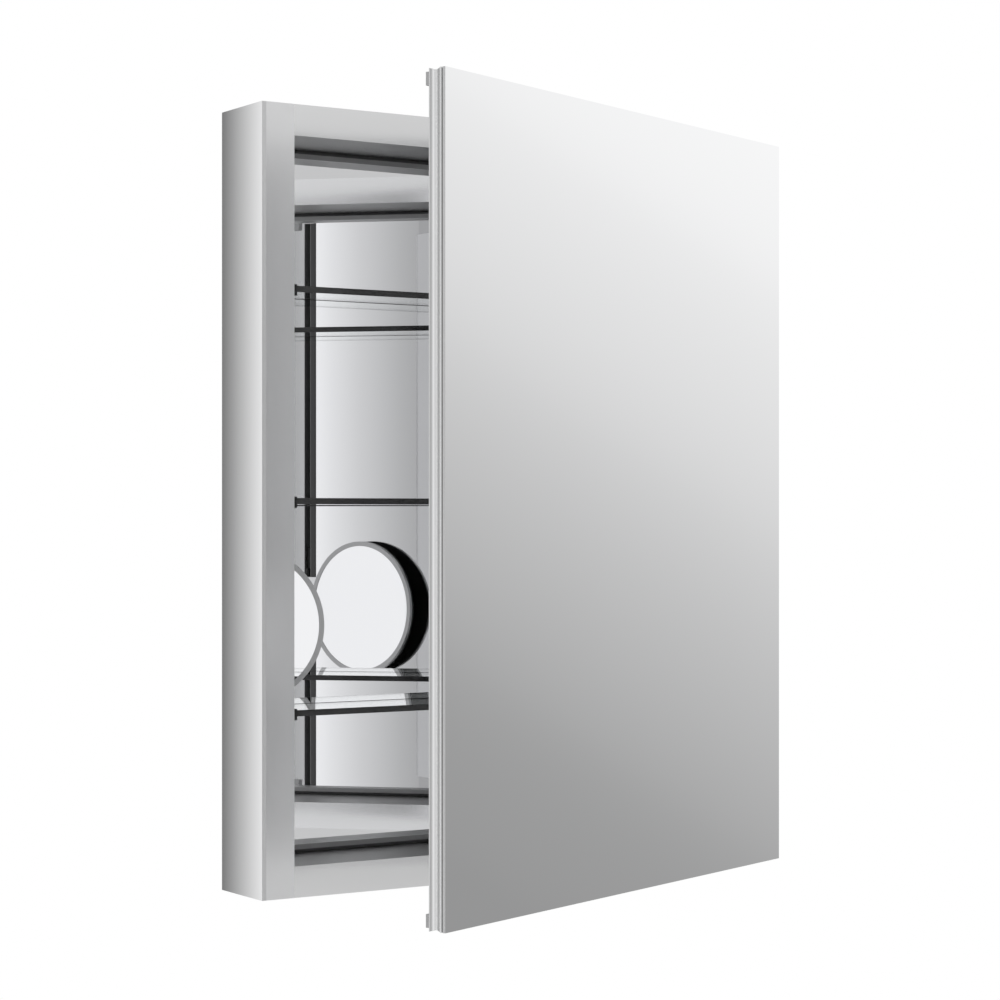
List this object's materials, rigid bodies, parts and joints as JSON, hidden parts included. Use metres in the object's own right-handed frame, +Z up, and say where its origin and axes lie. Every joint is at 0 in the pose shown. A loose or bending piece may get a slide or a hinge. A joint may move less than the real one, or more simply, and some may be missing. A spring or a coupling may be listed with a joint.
{
  "type": "medicine cabinet with mirror",
  "caption": "Wall-hung mirrored medicine cabinet: hollow metal box, swing door mirrored inside and out, glass shelves and a flip-out round mirror.",
  "frame": {"origin": "middle of the back face, where the cabinet meets the wall", "axes": "+X to the right seen from the front, +Y back into the wall, +Z up"},
  "size_m": [0.6114, 0.3364, 0.762],
  "materials": {
    "satin_side": "satin",
    "satin_frame": "satin",
    "dark_sheet": "satin",
    "mirror_glass": "polished",
    "bead_metal": "satin",
    "plain_steel": "brushed",
    "clear_glass": "polished",
    "black_plastic": "matte",
    "door_board": "matte",
    "door_frame": "satin",
    "dark_track": "matte",
    "grey_flange": "satin",
    "bumper": "matte",
    "flange_metal": "polished",
    "ring_metal": "satin"
  },
  "bodies": {
    "cabinet": {"left_side_panel": "satin_side", "right_side_panel": "satin_side", "left_wall": "satin_frame", "right_wall": "satin_frame", "top_rail": "satin_frame", "bottom_rail": "satin_frame", "back_panel": "dark_sheet", "back_mirror": "mirror_glass", "mirror_beads": "bead_metal", "corner_blocks": "plain_steel", "frame_screws": "plain_steel", "shelf_tracks": "bead_metal", "hanging_bracket": "plain_steel", "upper_hinge_bracket": "plain_steel", "lower_hinge_bracket": "plain_steel", "hinge_pins": "plain_steel"},
    "door": {"front_mirror": "mirror_glass", "backing_sheet": "black_plastic", "door_core": "door_board", "inner_mirror": "mirror_glass", "free_stile": "door_frame", "hinge_stile": "door_frame", "door_top_rail": "door_frame", "door_bottom_rail": "door_frame", "mirror_track": "dark_track", "track_flange": "grey_flange", "door_bumpers": "bumper", "upper_hinge_lever": "plain_steel", "lower_hinge_lever": "plain_steel", "lever_screws": "plain_steel"},
    "carriage": {"mirror_carriage": "black_plastic", "flip_pin": "plain_steel"},
    "round_mirror": {"flip_leaves": "flange_metal", "round_housing": "black_plastic", "round_ring": "ring_metal", "round_glass": "mirror_glass"},
    "upper_shelf": {"top_shelf": "clear_glass", "top_shelf_clips": "black_plastic"},
    "centre_shelf": {"middle_shelf": "clear_glass", "middle_shelf_clips": "black_plastic"},
    "lower_shelf": {"bottom_shelf": "clear_glass", "bottom_shelf_clips": "black_plastic"}
  },
  "joints": [
    {"name": "door_swing", "type": "hinge", "parent": "cabinet", "child": "door", "pos_m": [0.2935, -0.079, 0], "axis": [0, 0, 1], "range_deg": [-22.08, 85.92]},
    {"name": "mirror_height", "type": "slide", "parent": "door", "child": "carriage", "axis": [0, 0, 1], "range_m": [-0.12, 0.28]},
    {"name": "mirror_flip", "type": "hinge", "parent": "carriage", "child": "round_mirror", "pos_m": [-0.22621, -0.31086, -0.1342], "axis": [0, 0, 1], "range_deg": [-5, 105]},
    {"name": "top_shelf_height", "type": "slide", "parent": "cabinet", "child": "upper_shelf", "axis": [0, 0, 1], "range_m": [-0.05, 0.05]},
    {"name": "middle_shelf_height", "type": "slide", "parent": "cabinet", "child": "centre_shelf", "axis": [0, 0, 1], "range_m": [-0.05, 0.05]},
    {"name": "bottom_shelf_height", "type": "slide", "parent": "cabinet", "child": "lower_shelf", "axis": [0, 0, 1], "range_m": [-0.05, 0.05]}
  ]
}
